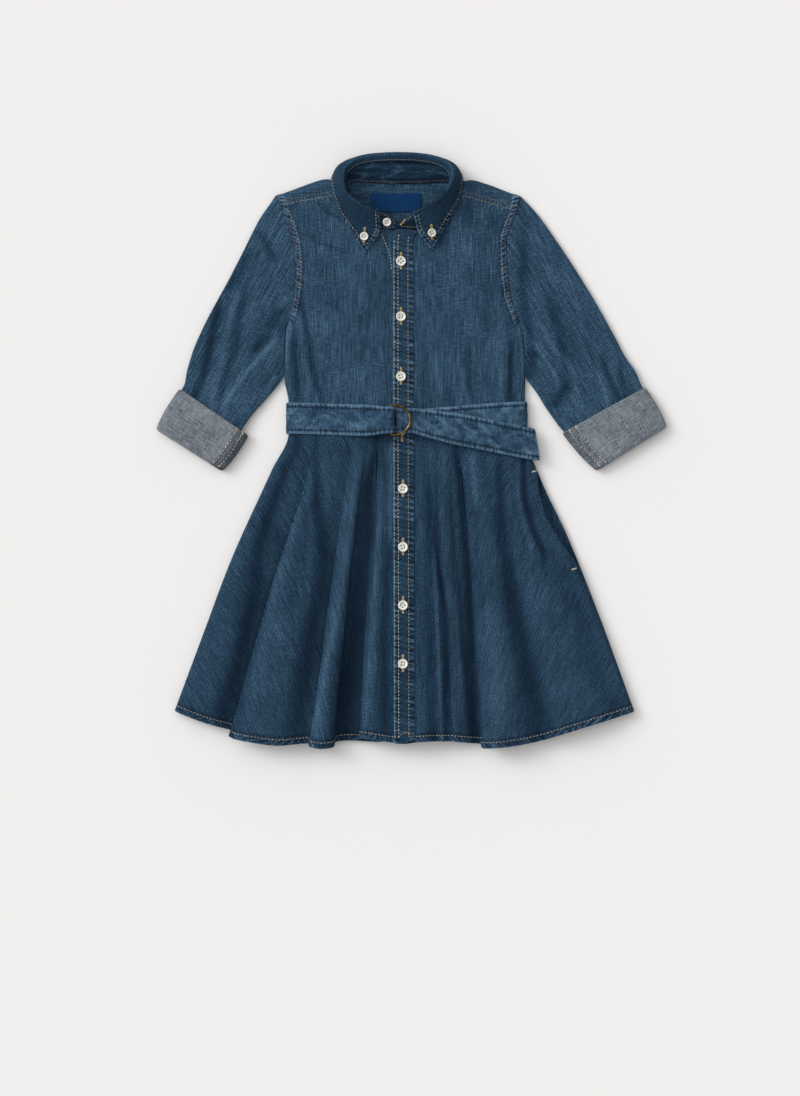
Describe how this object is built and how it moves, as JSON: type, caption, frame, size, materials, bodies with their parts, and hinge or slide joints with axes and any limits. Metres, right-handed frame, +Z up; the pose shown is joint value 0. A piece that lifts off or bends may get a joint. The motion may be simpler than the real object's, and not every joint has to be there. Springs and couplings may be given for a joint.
{
  "type": "shirt dress",
  "caption": "Child's denim shirt dress laid flat: button-down collar, full-length placket, rolled sleeves, flared skirt and a cloth belt through two D-rings.",
  "frame": {"origin": "middle of the dress's bounding box, on the surface it lies on", "axes": "+Z up from the surface, +Y from the hem to the collar, +X towards the wearer's left sleeve"},
  "size_m": [0.5848, 0.6826, 0.0285],
  "materials": {
    "bodice_front_right": "slubbed indigo denim twill, washed",
    "bodice_front_left": "slubbed indigo denim twill, washed",
    "bodice_back": "slubbed indigo denim twill, washed",
    "yoke": "slubbed indigo denim twill, washed",
    "collar_stand": "slubbed indigo denim twill, washed",
    "collar_leaf": "slubbed indigo denim twill, washed",
    "placket": "slubbed indigo denim twill, washed",
    "sleeve_right": "slubbed indigo denim twill, washed",
    "sleeve_left": "slubbed indigo denim twill, washed",
    "skirt_front_right": "slubbed indigo denim twill, washed",
    "skirt_front_left": "slubbed indigo denim twill, washed",
    "skirt_back": "slubbed indigo denim twill, washed",
    "pocket_facing": "slubbed indigo denim twill, washed",
    "belt": "slubbed indigo denim twill, washed",
    "cuff_right": "the pale reverse of the same denim, turned out",
    "cuff_left": "the pale reverse of the same denim, turned out",
    "d_ring_lower": "brushed, slightly aged",
    "d_ring_upper": "brushed, slightly aged",
    "woven_label": "close satin weave, navy",
    "button_stand": "pearly off-white",
    "button_collar_right": "pearly off-white",
    "button_collar_left": "pearly off-white",
    "button_front_1": "pearly off-white",
    "button_front_2": "pearly off-white",
    "button_front_3": "pearly off-white",
    "button_front_4": "pearly off-white",
    "button_front_5": "pearly off-white",
    "button_front_6": "pearly off-white",
    "button_front_7": "pearly off-white",
    "button_front_8": "pearly off-white"
  },
  "bodies": {
    "root": {"bodice_front_right": "bodice_front_right", "bodice_front_left": "bodice_front_left", "bodice_back": "bodice_back", "yoke": "yoke", "collar_stand": "collar_stand", "collar_leaf": "collar_leaf", "placket": "placket", "sleeve_right": "sleeve_right", "sleeve_left": "sleeve_left", "skirt_front_right": "skirt_front_right", "skirt_front_left": "skirt_front_left", "skirt_back": "skirt_back", "pocket_facing": "pocket_facing", "belt": "belt", "cuff_right": "cuff_right", "cuff_left": "cuff_left", "d_ring_lower": "d_ring_lower", "d_ring_upper": "d_ring_upper", "woven_label": "woven_label", "button_stand": "button_stand", "button_collar_right": "button_collar_right", "button_collar_left": "button_collar_left", "button_front_1": "button_front_1", "button_front_2": "button_front_2", "button_front_3": "button_front_3", "button_front_4": "button_front_4", "button_front_5": "button_front_5", "button_front_6": "button_front_6", "button_front_7": "button_front_7", "button_front_8": "button_front_8"}
  },
  "joints": []
}
